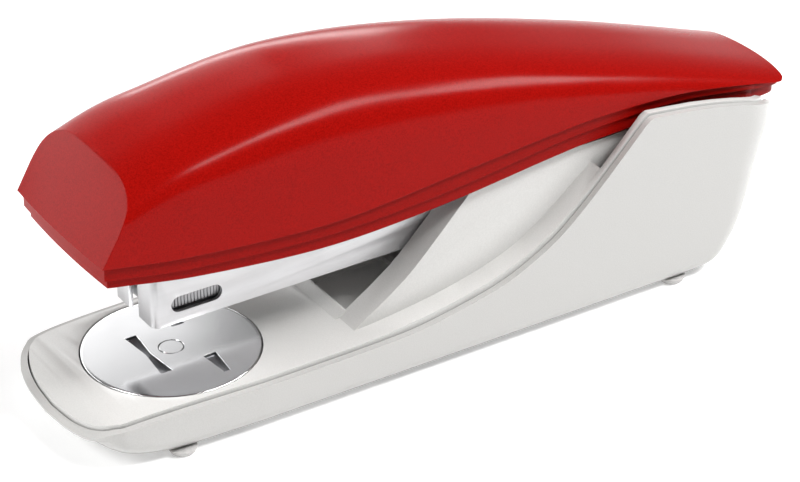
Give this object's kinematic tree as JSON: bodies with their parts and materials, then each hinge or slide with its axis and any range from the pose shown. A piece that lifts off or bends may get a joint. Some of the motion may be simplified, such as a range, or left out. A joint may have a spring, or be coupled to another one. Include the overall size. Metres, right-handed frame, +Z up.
{
  "type": "desk stapler",
  "caption": "Full-strip desk stapler with a long domed cover over a steel magazine, a moulded base with side fins and a round turnable anvil.",
  "frame": {"origin": "on the desk, under the middle of the length and width", "axes": "+Z up, +Y along the length from the head towards the hinge, X across the width"},
  "size_m": [0.04, 0.1587, 0.0615],
  "materials": {
    "base_plastic": "warm light grey, satin gloss",
    "liner_plastic": "warm light grey, satin gloss",
    "cover_plastic": "deep red, satin, finely speckled",
    "magazine_steel": "bright nickel plate",
    "mirror_steel": "mirror polish",
    "bright_steel": "ground, bright",
    "grey_steel": "plated sheet, dull",
    "staple_wire": "galvanised wire, glued in a strip",
    "spring_steel": "bright spring wire",
    "foot_rubber": "matt",
    "dark_plastic": "matt black"
  },
  "bodies": {
    "base": {"base_shell": "base_plastic", "base_liner": "liner_plastic", "bottom_plate": "base_plastic", "foot_front_left": "foot_rubber", "foot_front_right": "foot_rubber", "foot_rear_left": "foot_rubber", "foot_rear_right": "foot_rubber", "chassis": "grey_steel", "hinge_pin": "bright_steel", "lift_spring": "spring_steel", "anvil_spring": "spring_steel"},
    "anvil_lifter": {"anvil_stem": "mirror_steel", "anvil_button": "dark_plastic"},
    "anvil": {"anvil_disc": "mirror_steel"},
    "magazine": {"magazine_channel": "magazine_steel", "staple_rail": "grey_steel", "staple_strip": "staple_wire", "guide_rod": "bright_steel", "spring_stop": "dark_plastic", "follower_spring": "spring_steel", "cover_spring": "spring_steel"},
    "follower": {"follower": "dark_plastic"},
    "cover": {"cover_shell": "cover_plastic", "cover_frame": "cover_plastic", "cover_arm": "grey_steel", "driver_blade": "bright_steel", "blade_rivet_left": "grey_steel", "blade_rivet_right": "grey_steel"}
  },
  "joints": [
    {"name": "anvil_lift", "type": "slide", "parent": "base", "child": "anvil_lifter", "axis": [0, 0, 1], "range_m": [0, 0.0012], "stiffness_N_per_m": 400, "springref_m": -0.004, "deforming": ["anvil_spring"]},
    {"name": "anvil_turn", "type": "hinge", "parent": "anvil_lifter", "child": "anvil", "pos_m": [0, -0.0537, 0.0093], "axis": [0, 0, 1], "range_deg": [0, 180]},
    {"name": "magazine_press", "type": "hinge", "parent": "base", "child": "magazine", "pos_m": [0, 0.0655, 0.028], "axis": [1, 0, 0], "range_deg": [0, 3.7], "stiffness_Nm_per_rad": 2.5, "springref_deg": -5.73, "deforming": ["lift_spring"]},
    {"name": "follower_slide", "type": "slide", "parent": "magazine", "child": "follower", "axis": [0, 1, 0], "range_m": [0, 0.039], "stiffness_N_per_m": 60, "springref_m": -0.05, "deforming": ["follower_spring"]},
    {"name": "cover_hinge", "type": "hinge", "parent": "magazine", "child": "cover", "pos_m": [0, 0.0655, 0.028], "axis": [1, 0, 0], "range_deg": [-60, 3.6], "deforming": ["cover_spring"]}
  ]
}
